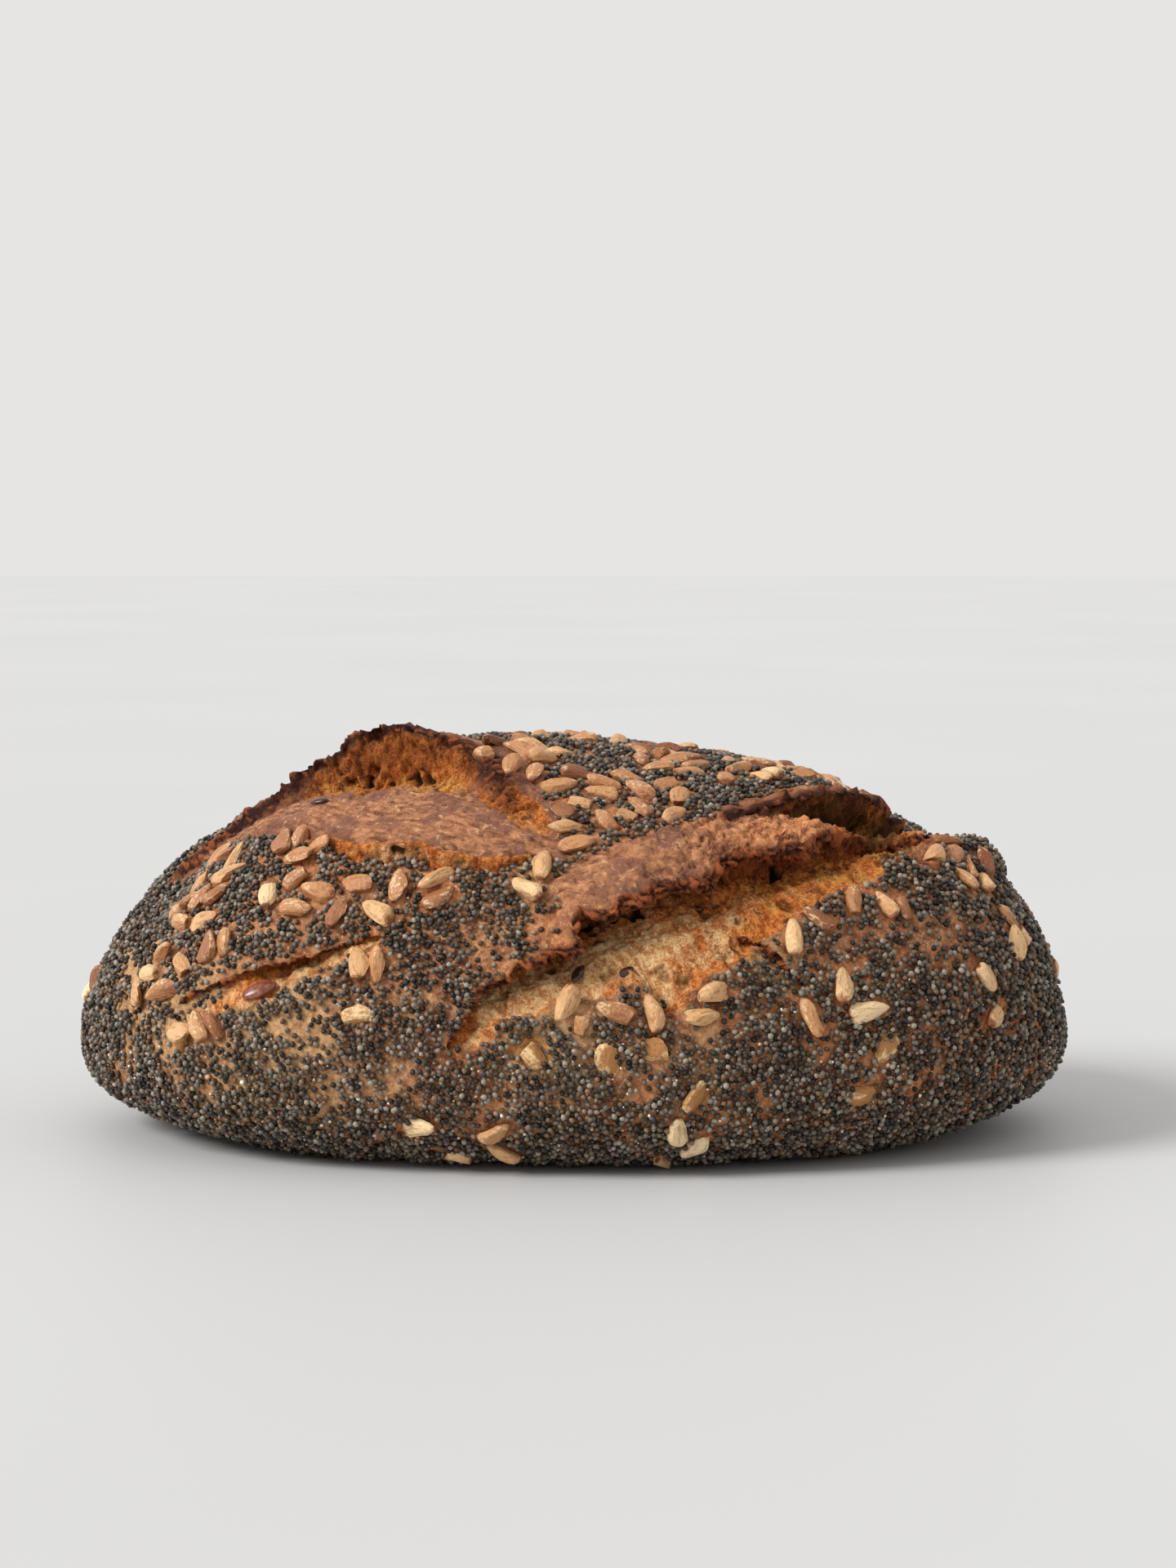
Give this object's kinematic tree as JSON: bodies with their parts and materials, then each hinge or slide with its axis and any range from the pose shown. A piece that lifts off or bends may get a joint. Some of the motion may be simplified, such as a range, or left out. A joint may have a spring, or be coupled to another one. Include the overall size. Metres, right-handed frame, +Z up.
{
  "type": "poppy seed bread loaf",
  "caption": "Oval hearth-baked bread loaf with a domed, cross-scored crust that has torn open, covered in poppy seeds and shelled sunflower kernels; rests on a flat base.",
  "frame": {"origin": "middle of the flat base, on the surface that the loaf rests on", "axes": "+X along the loaf's length to the right as seen from its best side, +Y away from that side, +Z up"},
  "size_m": [0.2172, 0.1506, 0.0889],
  "materials": {
    "crust": "matt baked crust, torn crumb in the cuts",
    "kernel": "toasted sunflower kernel, satin",
    "poppy": "slate blue-grey poppy seed, satin"
  },
  "bodies": {
    "root": {"loaf": "crust"}
  },
  "joints": []
}
